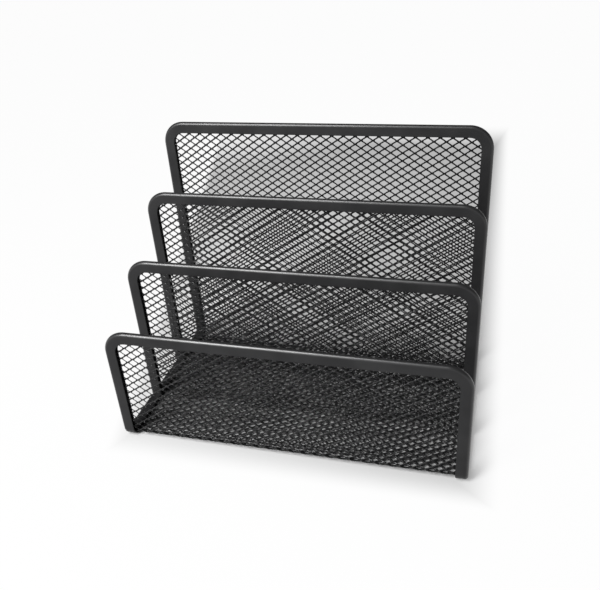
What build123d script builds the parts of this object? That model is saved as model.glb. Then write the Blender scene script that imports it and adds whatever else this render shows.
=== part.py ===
from build123d import *
import os
from math import sqrt

# Letter rack of expanded steel sheet in folded steel rims, in millimetres.
# One bent sheet is the front panel, the floor and the back panel, and two dividers stand on the floor.
# That sheet is made in three parts, cut where its bends meet the floor.
# The origin is at the middle of the base, +Z is up, and the lowest panel faces -Y.

# Overall sizes
rack_width = 178.0
front_height = 66.0
lower_divider_height = 88.0
upper_divider_height = 112.0
back_height = 140.0
pocket_pitch = 33.0  # from one panel's front face to the next

# Folded rim: a steel strip folded over the edge of each sheet
rim_face = 6.0  # how far the strip's flat faces reach in from the edge
rim_wall = 0.9  # thickness of the strip
top_corner_radius = 12.0  # outside of the rounded corners at the top
foot_bend_radius = 5.5  # outside of the bends between the floor and the front and back panels

# Expanded sheet
sheet_thickness = 1.0
sheet_side_clearance = 0.1  # between the sheet and each inner face of the strip
sheet_edge_clearance = 0.3  # between the sheet's edge and the fold of the strip
mesh_long_pitch = 15.0  # diamond openings across the rack, rounded to fill the width
mesh_short_pitch = 10.6  # diamond openings up the panel, rounded to fill the height
mesh_strand_width = 2.2

# Between a divider's legs and the floor's rim, and between the bent sheet's front, floor and back parts
piece_clearance = 0.05

# Sizes that follow from those above
divider_heights = {"lower_divider": lower_divider_height, "upper_divider": upper_divider_height}
pocket_count = len(divider_heights) + 1
rim_thickness = 2 * rim_wall + sheet_thickness + 2 * sheet_side_clearance
rack_depth = pocket_count * pocket_pitch + rim_thickness
sheet_inset = rim_wall + sheet_edge_clearance
sheet_width = rack_width - 2 * sheet_inset
window_width = rack_width - 2 * rim_face
middle_bend_radius = foot_bend_radius - rim_thickness / 2
sheet_bend_radius = middle_bend_radius + sheet_thickness / 2
floor_middle_z = rim_thickness / 2
bend_distance = rack_depth - 2 * foot_bend_radius
floor_length = bend_distance - 2 * piece_clearance
divider_foot = rim_thickness + piece_clearance


def panel_face(number):
    """Y of the front face of a panel, counted from 0 at the front."""
    return number * pocket_pitch - rack_depth / 2


def panel_middle(number):
    """Y of the middle of a panel's sheet and rim."""
    return panel_face(number) + rim_thickness / 2


def folded_rim(corners, radii):
    """A strip folded over a sheet's edge, from the middle of the top round one side, and its mirror image."""
    across = rim_thickness / 2
    inside = across - rim_wall
    with BuildPart() as rim:
        with BuildLine() as edge_line:
            FilletPolyline(*corners, radius=radii)
        with BuildSketch(Plane(origin=corners[0], x_dir=(0, 0, -1), z_dir=(1, 0, 0))):
            with BuildLine():
                Line((rim_face, -across), (across, -across))
                ThreePointArc((across, -across), (0, 0), (across, across))
                Polyline(
                    (across, across),
                    (rim_face, across),
                    (rim_face, inside),
                    (rim_wall, inside),
                    (rim_wall, -inside),
                    (rim_face, -inside),
                    (rim_face, -across),
                )
            make_face()
        sweep(path=edge_line.line)
        mirror(about=Plane.YZ)
    return rim.part


def expanded_net(outline, height, meets_rim_at_top):
    """One face with the diamond openings that fill a window, halved where they meet the rim."""
    columns = max(round(window_width / mesh_long_pitch), 1)
    rows = max(round(height / mesh_short_pitch), 1)
    half_long = window_width / columns / 2
    half_short = height / rows / 2
    side = sqrt(half_long**2 + half_short**2)
    share = 1 - mesh_strand_width * side / (2 * half_long * half_short)
    tip = half_long * share
    peak = half_short * share
    openings = []
    for row in range(1, 2 * rows + 1 if meets_rim_at_top else 2 * rows):
        up = row * half_short - height / 2
        for column in range(row % 2, 2 * columns + 1, 2):
            along = column * half_long - window_width / 2
            diamond = [(along + tip, up), (along, up + peak), (along - tip, up), (along, up - peak)]
            inside = [
                (x, y)
                for x, y in diamond
                if 2 * abs(x) < window_width + tip and 2 * abs(y) < height + peak
            ]
            if len(inside) > 2:
                openings.append(Wire.make_polygon([Vector(x, y) for x, y in inside]))
    return Face(outline.outer_wire(), openings)


def upright_net(number, foot, height):
    """The front face of an upright sheet, from its foot to the fold of the rim, with rounded top corners."""
    window = height - rim_face - foot
    front = panel_face(number) + rim_wall + sheet_side_clearance
    with BuildSketch() as outline:
        with Locations((0, -window / 2)):
            Rectangle(sheet_width, window + rim_face - sheet_inset, align=(Align.CENTER, Align.MIN))
        fillet(outline.vertices().group_by(Axis.Y)[-1], radius=top_corner_radius - sheet_inset)
    plane = Plane((0, front, foot + window / 2), x_dir=(1, 0, 0), z_dir=(0, -1, 0))
    return plane * expanded_net(outline.face(), window, True)


def bend_outline(bend_y, outward):
    """A quarter ring: the sheet's section where the floor turns up into the front or back panel."""
    with BuildSketch(Plane.YZ.offset(-sheet_width / 2)) as ring:
        with Locations((bend_y, foot_bend_radius)):
            Circle(sheet_bend_radius)
            Circle(sheet_bend_radius - sheet_thickness, mode=Mode.SUBTRACT)
            Rectangle(
                foot_bend_radius,
                foot_bend_radius,
                align=(outward, Align.MAX),
                mode=Mode.INTERSECT,
            )
    return ring.sketch


def bent_sheet(number, height, bend_y, outward):
    """The part of the bent sheet that is the front or back panel and the bend at its foot."""
    with BuildPart() as sheet:
        extrude(bend_outline(bend_y, outward), amount=sheet_width)
        extrude(upright_net(number, foot_bend_radius, height), amount=-sheet_thickness)
    return sheet.part


def floor_sheet():
    """The part of the bent sheet between the two bends."""
    with BuildSketch() as outline:
        Rectangle(sheet_width, floor_length)
    plane = Plane((0, 0, floor_middle_z - sheet_thickness / 2))
    with BuildPart() as sheet:
        extrude(plane * expanded_net(outline.face(), floor_length, False), amount=sheet_thickness)
    return sheet.part


def divider_sheet(number, height):
    """The flat sheet of a divider."""
    with BuildPart() as sheet:
        extrude(upright_net(number, divider_foot, height), amount=-sheet_thickness)
    return sheet.part


half_width = rack_width / 2
front_middle = panel_middle(0)
back_middle = panel_middle(pocket_count)
pieces = {
    "front_mesh": bent_sheet(0, front_height, -bend_distance / 2, Align.MAX),
    "floor_mesh": floor_sheet(),
    "back_mesh": bent_sheet(pocket_count, back_height, bend_distance / 2, Align.MIN),
    "body_rim": folded_rim(
        [
            (0, front_middle, front_height),
            (half_width, front_middle, front_height),
            (half_width, front_middle, floor_middle_z),
            (half_width, back_middle, floor_middle_z),
            (half_width, back_middle, back_height),
            (0, back_middle, back_height),
        ],
        [top_corner_radius, middle_bend_radius, middle_bend_radius, top_corner_radius],
    ),
}
for number, (name, height) in enumerate(divider_heights.items(), start=1):
    middle = panel_middle(number)
    pieces[name + "_mesh"] = divider_sheet(number, height)
    pieces[name + "_rim"] = folded_rim(
        [(0, middle, height), (half_width, middle, height), (half_width, middle, divider_foot)],
        [top_corner_radius],
    )

os.makedirs("parts", exist_ok=True)
for name, piece in pieces.items():
    piece.label = name
    export_step(piece, "parts/" + name + ".step")
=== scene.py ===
import math
from collections import namedtuple

import bmesh
import bpy
from mathutils import Matrix, Vector


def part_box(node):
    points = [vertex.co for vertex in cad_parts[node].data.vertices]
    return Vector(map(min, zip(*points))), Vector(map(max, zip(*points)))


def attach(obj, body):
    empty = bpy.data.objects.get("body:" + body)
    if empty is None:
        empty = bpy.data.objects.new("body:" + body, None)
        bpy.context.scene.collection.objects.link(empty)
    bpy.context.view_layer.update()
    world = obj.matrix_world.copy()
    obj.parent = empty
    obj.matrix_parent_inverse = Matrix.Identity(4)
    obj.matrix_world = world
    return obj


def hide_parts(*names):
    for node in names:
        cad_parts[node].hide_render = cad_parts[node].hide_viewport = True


# Letter rack of expanded steel sheet in folded rims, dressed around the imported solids, in metres.

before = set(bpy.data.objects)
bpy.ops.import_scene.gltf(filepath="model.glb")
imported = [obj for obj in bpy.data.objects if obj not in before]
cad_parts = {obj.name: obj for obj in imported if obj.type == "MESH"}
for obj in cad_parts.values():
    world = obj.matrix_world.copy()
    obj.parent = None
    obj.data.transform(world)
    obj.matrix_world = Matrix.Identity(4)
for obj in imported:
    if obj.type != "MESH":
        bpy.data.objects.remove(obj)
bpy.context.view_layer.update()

# Folded rim, as in the solids
front_height = 0.066
rim_face = 0.006
rim_thickness = 0.003
rim_wall = 0.0009
rim_corner_radius = 0.012
lip_rounding = 0.0003  # on the cut edges of the strip
corner_steps = 18
bend_steps = 12
nose_steps = 7
lip_steps = 2
merge_distance = 1e-6
face_area_weight = 100  # how far large faces outweigh small ones where the rim is shaded smoothly

# Foot bends, measured at the middle of the sheet
floor_middle = 0.0015
bend_radius = 0.004
bend_height = floor_middle + bend_radius
bend_length = bend_radius * math.pi / 2

# Expanded sheet
sheet_thickness = 0.0003
sheet_inset = 0.0012  # from the rim's outside to the edge of the sheet
strand_width = 0.0008
bond_length = 0.0004  # cut off the side corners of each opening, where strands join
strand_lean = 0.0003  # how far the edges of a strand stand out of the sheet, one to each side
strand_rounding = 0.00008
sharp_angle = 0.9  # in radians: edges that fold by more are rounded
spare_cells = 4  # beyond the sheet's edges, to be trimmed off
corner_cuts = (22.5, 45, 67.5)  # in degrees round each rounded corner
cut_distance = 1e-7

# How each sheet's net lies: the pitch of its openings across and up, the turn of its rows and columns in
# degrees, and how far across and up the middle of one opening is
Lay = namedtuple("Lay", "long_pitch short_pitch row_turn column_turn across up")
body_lay = Lay(0.006205, 0.004190, 0.0, 1.55, 0.00299, -0.08574)
divider_lays = {
    "lower_divider": Lay(0.006247, 0.004132, -1.14, -0.98, 0.0094, 0.0703),
    "upper_divider": Lay(0.006173, 0.004070, -1.17, 0.47, 0.0071, 0.0924),
}

# Powder coat
rim_dark = (0.007, 0.007, 0.0075, 1)
rim_light = (0.013, 0.013, 0.0135, 1)
rim_gloss = 0.24
rim_roughness = 0.40
rubbed_gloss = 0.8
rubbed_roughness = 0.24
rubbed_range = (0.2, 0.7)
mesh_dark = (0.007, 0.007, 0.0075, 1)
mesh_light = (0.012, 0.012, 0.0125, 1)
mesh_gloss = 0.32
mesh_roughness = (0.34, 0.22)
cloud_scale = 70
cloud_detail = 3
cloud_range = (0.35, 0.7)
peel_scale = 1600
peel_detail = 2
peel_strength = 0.25
peel_depth = 0.00006

# Pale floor
floor_half_size = 6.0
floor_cells = 4
floor_colour = (0.5, 0.5, 0.5, 1)
floor_roughness = 0.9
floor_gloss = 0.1
# Edges of the rack's shade on the floor, beyond which a painted white glow hides its shadow: the way out
# over each edge, how far out the shade is whole, how far out it has gone, and how strongly the painted glow
# shows there
shade_edges = {
    "right": ((1, 0, 0), 0.080, 0.104, 0.97),
    # behind the rack the painted glow is faint and only lightens the shadow seen through the sheets
    "behind": ((0, 1, 0), 0.04, 0.09, 0.26),
    "far_behind": ((0, 1, 0), 0.40, 0.52, 0.97),
    "far_left": ((-0.8, 1, 0), 0.36, 0.72, 0.97),
    "left": ((-1, -0.26, 0), 0.098, 0.112, 0.97),
    "front": ((0, -1, 0), 0.048, 0.066, 0.97),
}

# Plain studio light: a white wall in front, a dimmer one behind, a dim ceiling, and one softbox
front_strength = 0.75
rear_strength = 0.25
wall_fade = (-0.4, 0.4)
ceiling_strength = 0.12
ceiling_fade = (0.1, 0.35)
softbox_place = Vector((-0.28, -0.46, 0.50))
softbox_target = Vector((0, 0, 0.06))
softbox_width = 0.20
softbox_height = 0.60
softbox_watts = 11

# Camera at the photograph's viewing angle, with its turns in degrees
camera_lens = 41.344
camera_sensor = 36
camera_place = (0.089791, -0.293381, 0.242523)
camera_turns = (59.9451, 3.7753, 15.1296)


def verts_of(made):
    """The vertices among what an operator made."""
    return [item for item in made if isinstance(item, bmesh.types.BMVert)]


def edges_between(made):
    """The edges among what an operator made whose two ends are both new."""
    fresh = set(verts_of(made))
    edges = [item for item in made if isinstance(item, bmesh.types.BMEdge)]
    return [edge for edge in edges if edge.verts[0] in fresh and edge.verts[1] in fresh]


def everything(bm):
    """All vertices, edges and faces."""
    return bm.verts[:] + bm.edges[:] + bm.faces[:]


def make_piece(name, bm, material, node):
    """Turns a bmesh into a piece that stands for a node of the solids."""
    mesh = bpy.data.meshes.new(name)
    bm.to_mesh(mesh)
    bm.free()
    mesh.materials.append(material)
    piece = bpy.data.objects.new(name, mesh)
    bpy.context.scene.collection.objects.link(piece)
    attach(piece, "root")
    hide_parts(node)
    return piece


# Folded rims

def strip_end(bm, tip):
    """The cut end of the folded strip as a loop of edges, hanging from its tip, open downwards."""
    wear = bm.verts.layers.float.new("wear")
    across = rim_thickness / 2
    inside = across - rim_wall
    outline = [
        (0, -across),
        (0, across),
        (rim_face, across),
        (rim_face, inside),
        (rim_wall, inside),
        (rim_wall, -inside),
        (rim_face, -inside),
        (rim_face, -across),
    ]
    corners = [bm.verts.new(tip + Vector((0, side, -reach))) for reach, side in outline]
    bm.faces.new(corners)
    nose = corners[:2]
    lips = [corners[2], corners[3], corners[6], corners[7]]
    rounding = {"affect": "VERTICES", "profile": 0.5, "material": -1, "clamp_overlap": False}
    bmesh.ops.bevel(bm, geom=nose, offset=across, segments=nose_steps, **rounding)
    bmesh.ops.bevel(bm, geom=lips, offset=lip_rounding, segments=lip_steps, **rounding)
    bmesh.ops.remove_doubles(bm, verts=bm.verts[:], dist=merge_distance)
    for vert in bm.verts:
        reach = tip.z - vert.co.z
        vert[wear] = max(0.0, 1 - reach / across)
    loop = bm.edges[:]
    bmesh.ops.delete(bm, geom=bm.faces[:], context="FACES_ONLY")
    return loop


def run_on(bm, loop, run):
    """Carries the strip straight on."""
    made = bmesh.ops.extrude_edge_only(bm, edges=loop)["geom"]
    bmesh.ops.translate(bm, verts=verts_of(made), vec=run)
    return edges_between(made)


def turn_round(bm, loop, centre, axis, steps):
    """Carries the strip round a quarter turn."""
    ends = list({vert for edge in loop for vert in edge.verts})
    made = bmesh.ops.spin(
        bm,
        geom=ends + loop,
        cent=centre,
        axis=axis,
        angle=math.pi / 2,
        steps=steps,
        use_merge=False,
        use_duplicate=False,
    )["geom_last"]
    return edges_between(made)


def close_rim(name, bm, node, material):
    """Mirrors the half that was swept and shades its folds smoothly."""
    unturned = Matrix.Identity(4)
    bmesh.ops.mirror(bm, geom=everything(bm), matrix=unturned, axis="X", merge_dist=merge_distance)
    bmesh.ops.remove_doubles(bm, verts=bm.verts[:], dist=merge_distance)
    bmesh.ops.recalc_face_normals(bm, faces=bm.faces[:])
    for face in bm.faces:
        face.smooth = True
    piece = make_piece(name, bm, material, node)
    evened = piece.modifiers.new("even_shading", "WEIGHTED_NORMAL")
    evened.weight = face_area_weight


def body_rim(name, node, material):
    """The strip over the front panel's top, down its sides, along the floor and up round the back panel."""
    low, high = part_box(node)
    front = low.y + rim_thickness / 2
    back = high.y - rim_thickness / 2
    side = high.x - rim_corner_radius
    front_shoulder = front_height - rim_corner_radius
    back_shoulder = high.z - rim_corner_radius
    floor_run = back - front - 2 * bend_radius
    bm = bmesh.new()
    loop = strip_end(bm, Vector((0, front, front_height)))
    loop = run_on(bm, loop, (side, 0, 0))
    loop = turn_round(bm, loop, (side, front, front_shoulder), (0, 1, 0), corner_steps)
    loop = run_on(bm, loop, (0, 0, bend_height - front_shoulder))
    loop = turn_round(bm, loop, (high.x, front + bend_radius, bend_height), (1, 0, 0), bend_steps)
    loop = run_on(bm, loop, (0, floor_run, 0))
    loop = turn_round(bm, loop, (high.x, back - bend_radius, bend_height), (1, 0, 0), bend_steps)
    loop = run_on(bm, loop, (0, 0, back_shoulder - bend_height))
    loop = turn_round(bm, loop, (side, back, back_shoulder), (0, -1, 0), corner_steps)
    run_on(bm, loop, (-side, 0, 0))
    close_rim(name, bm, node, material)


def divider_rim(name, node, material):
    """The strip over a divider's top and down its sides, cut off square at the floor's rim."""
    low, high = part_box(node)
    middle = low.y + rim_thickness / 2
    side = high.x - rim_corner_radius
    shoulder = high.z - rim_corner_radius
    bm = bmesh.new()
    loop = strip_end(bm, Vector((0, middle, high.z)))
    loop = run_on(bm, loop, (side, 0, 0))
    loop = turn_round(bm, loop, (side, middle, shoulder), (0, 1, 0), corner_steps)
    loop = run_on(bm, loop, (0, 0, low.z - shoulder))
    bmesh.ops.triangle_fill(bm, edges=loop, use_beauty=True)
    close_rim(name, bm, node, material)


# Expanded sheets

def diamond_net(bm, half_width, half_length, long_pitch, short_pitch):
    """A net of blunt diamonds with leaning strands, with the middle of an opening at the origin."""
    columns = 2 * math.ceil(half_width / long_pitch) + spare_cells
    rows = 2 * math.ceil(half_length / short_pitch) + spare_cells
    bmesh.ops.create_grid(bm, x_segments=columns, y_segments=rows, size=0.5)
    bmesh.ops.scale(bm, verts=bm.verts[:], vec=(columns * long_pitch, rows * short_pitch, 1))
    bmesh.ops.translate(bm, verts=bm.verts[:], vec=(long_pitch / 2, 0, 0))
    grid_lines = [edge for edge in bm.edges if len(edge.link_faces) == 2]
    bmesh.ops.poke(bm, faces=bm.faces[:])
    bmesh.ops.dissolve_edges(bm, edges=grid_lines, use_verts=False, use_face_split=False)
    whole = [face for face in bm.faces if len(face.verts) == 4]
    halves = [face for face in bm.faces if len(face.verts) == 3]
    bmesh.ops.delete(bm, geom=halves, context="FACES")
    bmesh.ops.inset_individual(bm, faces=whole, thickness=strand_width / 2, use_even_offset=True)
    tips = []
    for face in whole:
        by_side = sorted(face.verts, key=lambda vert: vert.co.x)
        tips += [by_side[0], by_side[3]]
    bmesh.ops.bevel(
        bm,
        geom=tips,
        offset=bond_length,
        affect="VERTICES",
        segments=1,
        profile=0.5,
        material=-1,
        clamp_overlap=False,
    )
    openings = [face for face in bm.faces if len(face.verts) == 6]
    lower_edges = []
    upper_edges = []
    for face in openings:
        by_height = sorted(face.verts, key=lambda vert: vert.co.y)
        lower_edges += by_height[:3]
        upper_edges += by_height[3:]
    bmesh.ops.translate(bm, verts=lower_edges, vec=(0, 0, strand_lean))
    bmesh.ops.translate(bm, verts=upper_edges, vec=(0, 0, -strand_lean))
    bmesh.ops.delete(bm, geom=openings, context="FACES")


def cut_away(bm, place, outward):
    """Cuts the net along a line and drops what lies outside it."""
    bmesh.ops.bisect_plane(
        bm,
        geom=everything(bm),
        dist=cut_distance,
        plane_co=place,
        plane_no=outward,
        clear_outer=True,
    )


def trim_net(bm, half_width, top, bottom, rounded_ends):
    """Cuts the net to the sheet's outline, with rounded corners at the ends that the rim goes round."""
    radius = rim_corner_radius - sheet_inset
    cut_away(bm, (0, top, 0), (0, 1, 0))
    cut_away(bm, (0, bottom, 0), (0, -1, 0))
    for side in (-1, 1):
        cut_away(bm, (side * half_width, 0, 0), (side, 0, 0))
        for end, up in rounded_ends:
            centre = Vector((side * (half_width - radius), end - up * radius, 0))
            for degrees in corner_cuts:
                angle = math.radians(degrees)
                outward = Vector((side * math.cos(angle), up * math.sin(angle), 0))
                cut_away(bm, centre + outward * radius, outward)


def under_rim(edge, half_width, rounded_ends):
    """Whether the rim covers the middle of an edge of the flat sheet."""
    cover = rim_face - sheet_inset
    middle = (edge.verts[0].co + edge.verts[1].co) / 2
    if abs(middle.x) > half_width - cover:
        return True
    return any(abs(middle.y - end) < cover for end, up in rounded_ends)


def drawn_sheet(half_width, top, bottom, rounded_ends, lay):
    """A flat sheet drawn out into diamonds, trimmed, given its thickness, and rounded where it shows."""
    rows = math.radians(lay.row_turn)
    columns = math.radians(lay.column_turn)
    half_length = max(top - lay.up, lay.up - bottom)
    bm = bmesh.new()
    diamond_net(bm, half_width + abs(lay.across), half_length, lay.long_pitch, lay.short_pitch)
    drawn = Matrix((
        (math.cos(rows), -math.sin(columns), 0),
        (math.sin(rows), math.cos(columns), 0),
        (0, 0, 1),
    ))
    laid = Matrix.Translation((lay.across, lay.up, 0)) @ drawn.to_4x4()
    bmesh.ops.transform(bm, verts=bm.verts[:], matrix=laid)
    trim_net(bm, half_width, top, bottom, rounded_ends)
    bmesh.ops.solidify(bm, geom=bm.faces[:], thickness=sheet_thickness)
    level = sum(vert.co.z for vert in bm.verts) / len(bm.verts)
    bmesh.ops.translate(bm, verts=bm.verts[:], vec=(0, 0, -level))
    bmesh.ops.recalc_face_normals(bm, faces=bm.faces[:])
    sharp = [edge for edge in bm.edges if edge.is_manifold and edge.calc_face_angle() > sharp_angle]
    shown = [edge for edge in sharp if not under_rim(edge, half_width, rounded_ends)]
    bmesh.ops.bevel(
        bm,
        geom=shown,
        offset=strand_rounding,
        affect="EDGES",
        segments=1,
        profile=0.5,
        material=-1,
        clamp_overlap=True,
    )
    for face in bm.faces:
        face.smooth = True
    return bm


def bent_place(flat, front, back):
    """Where a place on the flat sheet goes when the sheet is bent up at the front and at the back."""
    along, up, out = flat
    bend_front = front + bend_radius
    bend_back = back - bend_radius
    floor_length = bend_back - bend_front
    reach = bend_radius + out
    into_bend = bend_height - up
    onto_floor = into_bend - bend_length
    into_second_bend = onto_floor - floor_length
    up_back = into_second_bend - bend_length
    if into_bend <= 0:
        return (along, front - out, up)
    if onto_floor <= 0:
        angle = into_bend / bend_radius
        return (along, bend_front - reach * math.cos(angle), bend_height - reach * math.sin(angle))
    if into_second_bend <= 0:
        return (along, bend_front + onto_floor, bend_height - reach)
    if up_back <= 0:
        angle = into_second_bend / bend_radius
        return (along, bend_back + reach * math.sin(angle), bend_height - reach * math.cos(angle))
    return (along, back + out, bend_height + up_back)


def bent_sheet(nodes, rim_node, lay, material):
    """The sheet bent twice, in three parts: front panel and bend, floor, and back panel and bend."""
    low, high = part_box(rim_node)
    front = low.y + rim_thickness / 2
    back = high.y - rim_thickness / 2
    front_top = front_height - sheet_inset
    floor_front = bend_height - bend_length
    floor_back = floor_front - (back - front - 2 * bend_radius)
    back_top = floor_back - bend_length - (high.z - sheet_inset - bend_height)
    spans = (
        (front_top, floor_front, [(front_top, 1)]),
        (floor_front, floor_back, []),
        (floor_back, back_top, [(back_top, -1)]),
    )
    for node, (upper, lower, rounded_ends) in zip(nodes, spans):
        bm = drawn_sheet(high.x - sheet_inset, upper, lower, rounded_ends, lay)
        for vert in bm.verts:
            vert.co = bent_place(vert.co, front, back)
        bmesh.ops.recalc_face_normals(bm, faces=bm.faces[:])
        make_piece(node.replace("mesh", "expanded_sheet"), bm, material, node)


def divider_sheet(name, node, rim_node, lay, material):
    """The flat sheet of a divider, stood up in its rim."""
    low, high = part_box(rim_node)
    middle = low.y + rim_thickness / 2
    top = high.z - sheet_inset
    bm = drawn_sheet(high.x - sheet_inset, top, low.z, [(top, 1)], lay)
    for vert in bm.verts:
        along, up, out = vert.co
        vert.co = (along, middle - out, up)
    bmesh.ops.recalc_face_normals(bm, faces=bm.faces[:])
    make_piece(name, bm, material, node)


# Finishes

def add_noise(tree, place, scale, detail):
    """A cloudy value that varies over the surface."""
    noise = tree.nodes.new("ShaderNodeTexNoise")
    noise.inputs["Scale"].default_value = scale
    noise.inputs["Detail"].default_value = detail
    tree.links.new(place, noise.inputs["Vector"])
    return noise.outputs["Fac"]


def add_math(tree, operation, first, second):
    """One value worked out from two."""
    step = tree.nodes.new("ShaderNodeMath")
    step.operation = operation
    tree.links.new(first, step.inputs[0])
    tree.links.new(second, step.inputs[1])
    return step.outputs["Value"]


def add_range(tree, value, taken, given, interpolation="LINEAR"):
    """A node that carries a value from one range to another."""
    carried = tree.nodes.new("ShaderNodeMapRange")
    carried.interpolation_type = interpolation
    carried.inputs["From Min"].default_value = taken[0]
    carried.inputs["From Max"].default_value = taken[1]
    carried.inputs["To Min"].default_value = given[0]
    carried.inputs["To Max"].default_value = given[1]
    tree.links.new(value, carried.inputs["Value"])
    return carried


def powder_coat(name, dark, light, gloss):
    """Black powder coat with faint clouding and orange peel: the material, its shader and its clouding."""
    material = bpy.data.materials.new(name)
    material.use_nodes = True
    tree = material.node_tree
    shader = tree.nodes["Principled BSDF"]
    shader.inputs["Specular IOR Level"].default_value = gloss
    place = tree.nodes.new("ShaderNodeTexCoord").outputs["Object"]
    clouds = add_noise(tree, place, cloud_scale, cloud_detail)
    tint = tree.nodes.new("ShaderNodeValToRGB")
    ends = tint.color_ramp.elements
    ends[0].position, ends[1].position = cloud_range
    ends[0].color = dark
    ends[1].color = light
    tree.links.new(clouds, tint.inputs["Fac"])
    tree.links.new(tint.outputs["Color"], shader.inputs["Base Color"])
    bump = tree.nodes.new("ShaderNodeBump")
    bump.inputs["Strength"].default_value = peel_strength
    bump.inputs["Distance"].default_value = peel_depth
    tree.links.new(add_noise(tree, place, peel_scale, peel_detail), bump.inputs["Height"])
    tree.links.new(bump.outputs["Normal"], shader.inputs["Normal"])
    return material, shader, clouds


def mesh_powder_coat():
    """The coat of the sheets, a little smoother in places."""
    material, shader, clouds = powder_coat("mesh_powder_coat", mesh_dark, mesh_light, mesh_gloss)
    tree = material.node_tree
    satin = add_range(tree, clouds, (0, 1), mesh_roughness)
    tree.links.new(satin.outputs["Result"], shader.inputs["Roughness"])
    return material


def rim_powder_coat():
    """The coat of the rims, polished and glossier along the top of the fold, where hands rub it."""
    material, shader, clouds = powder_coat("rim_powder_coat", rim_dark, rim_light, rim_gloss)
    tree = material.node_tree
    rubbed = tree.nodes.new("ShaderNodeAttribute")
    rubbed.attribute_name = "wear"
    patchy = add_math(tree, "MULTIPLY", rubbed.outputs["Fac"], clouds)
    polish = add_range(tree, patchy, rubbed_range, (rim_roughness, rubbed_roughness))
    tree.links.new(polish.outputs["Result"], shader.inputs["Roughness"])
    sheen = add_range(tree, rubbed.outputs["Fac"], (0, 1), (rim_gloss, rubbed_gloss))
    tree.links.new(sheen.outputs["Result"], shader.inputs["Specular IOR Level"])
    return material


# Floor and light

def sees_white(tree):
    """One where a camera, glossy or transmission ray looks, and zero for the rays that carry light."""
    path = tree.nodes.new("ShaderNodeLightPath").outputs
    either = add_math(tree, "MAXIMUM", path["Is Camera Ray"], path["Is Glossy Ray"])
    return add_math(tree, "MAXIMUM", either, path["Is Transmission Ray"])


def floor_paint():
    """Matt grey paint under a painted white glow that camera and glossy rays see, hiding the rack's shadow
    beyond the edges of its shade and lightening it behind the rack.
    """
    material = bpy.data.materials.new("pale_floor_paint")
    material.use_nodes = True
    tree = material.node_tree
    matt = tree.nodes["Principled BSDF"]
    matt.inputs["Base Color"].default_value = floor_colour
    matt.inputs["Roughness"].default_value = floor_roughness
    matt.inputs["Specular IOR Level"].default_value = floor_gloss
    place = tree.nodes.new("ShaderNodeTexCoord").outputs["Object"]
    fades = []
    for toward, shaded, clear, glow_strength in shade_edges.values():
        outward = tree.nodes.new("ShaderNodeVectorMath")
        outward.operation = "DOT_PRODUCT"
        outward.inputs[1].default_value = toward
        tree.links.new(place, outward.inputs[0])
        fade = add_range(tree, outward.outputs["Value"], (shaded, clear), (0, glow_strength), "SMOOTHSTEP")
        fades.append(fade.outputs["Result"])
    painted_glow_share = fades[0]
    for fade in fades[1:]:
        painted_glow_share = add_math(tree, "MAXIMUM", painted_glow_share, fade)
    # painted light: white emission mixed in for camera and glossy rays where the shade has faded
    blend = tree.nodes.new("ShaderNodeMixShader")
    tree.links.new(add_math(tree, "MULTIPLY", sees_white(tree), painted_glow_share), blend.inputs["Fac"])
    tree.links.new(matt.outputs["BSDF"], blend.inputs[1])
    white = tree.nodes.new("ShaderNodeEmission")
    tree.links.new(white.outputs["Emission"], blend.inputs[2])
    tree.links.new(blend.outputs["Shader"], tree.nodes["Material Output"].inputs["Surface"])
    return material


def lay_floor():
    """The floor that the rack stands on."""
    bm = bmesh.new()
    bmesh.ops.create_grid(bm, x_segments=floor_cells, y_segments=floor_cells, size=floor_half_size)
    ground = bpy.data.meshes.new("pale_floor")
    bm.to_mesh(ground)
    bm.free()
    ground.materials.append(floor_paint())
    floor = bpy.data.objects.new("pale_floor", ground)
    bpy.context.scene.collection.objects.link(floor)


def paint_walls():
    """White light from all round, dimmer from behind and from the ceiling."""
    world = bpy.data.worlds.new("studio")
    bpy.context.scene.world = world
    world.use_nodes = True
    tree = world.node_tree
    walls = tree.nodes["Background"]
    walls.inputs["Color"].default_value = (1, 1, 1, 1)
    heading = tree.nodes.new("ShaderNodeTexCoord").outputs["Generated"]
    toward = tree.nodes.new("ShaderNodeSeparateXYZ")
    tree.links.new(heading, toward.inputs["Vector"])
    wall_strengths = (front_strength, rear_strength)
    wall = add_range(tree, toward.outputs["Y"], wall_fade, wall_strengths, "SMOOTHSTEP")
    height_strengths = (front_strength, ceiling_strength)
    height = add_range(tree, toward.outputs["Z"], ceiling_fade, height_strengths, "SMOOTHSTEP")
    tree.links.new(wall.outputs["Result"], height.inputs["To Min"])
    tree.links.new(height.outputs["Result"], walls.inputs["Strength"])


def hang_softbox():
    """The rectangular area lamp that faces the rack from the upper left."""
    lamp = bpy.data.lights.new("key_softbox", "AREA")
    lamp.shape = "RECTANGLE"
    lamp.size = softbox_width
    lamp.size_y = softbox_height
    lamp.energy = softbox_watts
    holder = bpy.data.objects.new("key_softbox", lamp)
    holder.location = softbox_place
    holder.rotation_euler = (softbox_target - softbox_place).to_track_quat("-Z", "Y").to_euler()
    bpy.context.scene.collection.objects.link(holder)


def set_camera():
    """The camera that took the photograph, as fitted to the panels' corners."""
    lens = bpy.data.cameras.new("photo_camera")
    lens.lens = camera_lens
    lens.sensor_width = camera_sensor
    camera = bpy.data.objects.new("photo_camera", lens)
    camera.location = camera_place
    camera.rotation_euler = [math.radians(turn) for turn in camera_turns]
    bpy.context.scene.collection.objects.link(camera)
    bpy.context.scene.camera = camera


rim_coat = rim_powder_coat()
mesh_coat = mesh_powder_coat()
body_rim("body_folded_rim", "body_rim", rim_coat)
bent_sheet(("front_mesh", "floor_mesh", "back_mesh"), "body_rim", body_lay, mesh_coat)
for panel, lay in divider_lays.items():
    rim_node = panel + "_rim"
    divider_rim(panel + "_folded_rim", rim_node, rim_coat)
    divider_sheet(panel + "_expanded_sheet", panel + "_mesh", rim_node, lay, mesh_coat)
lay_floor()
paint_walls()
hang_softbox()
set_camera()
bpy.context.scene.view_settings.view_transform = "Standard"
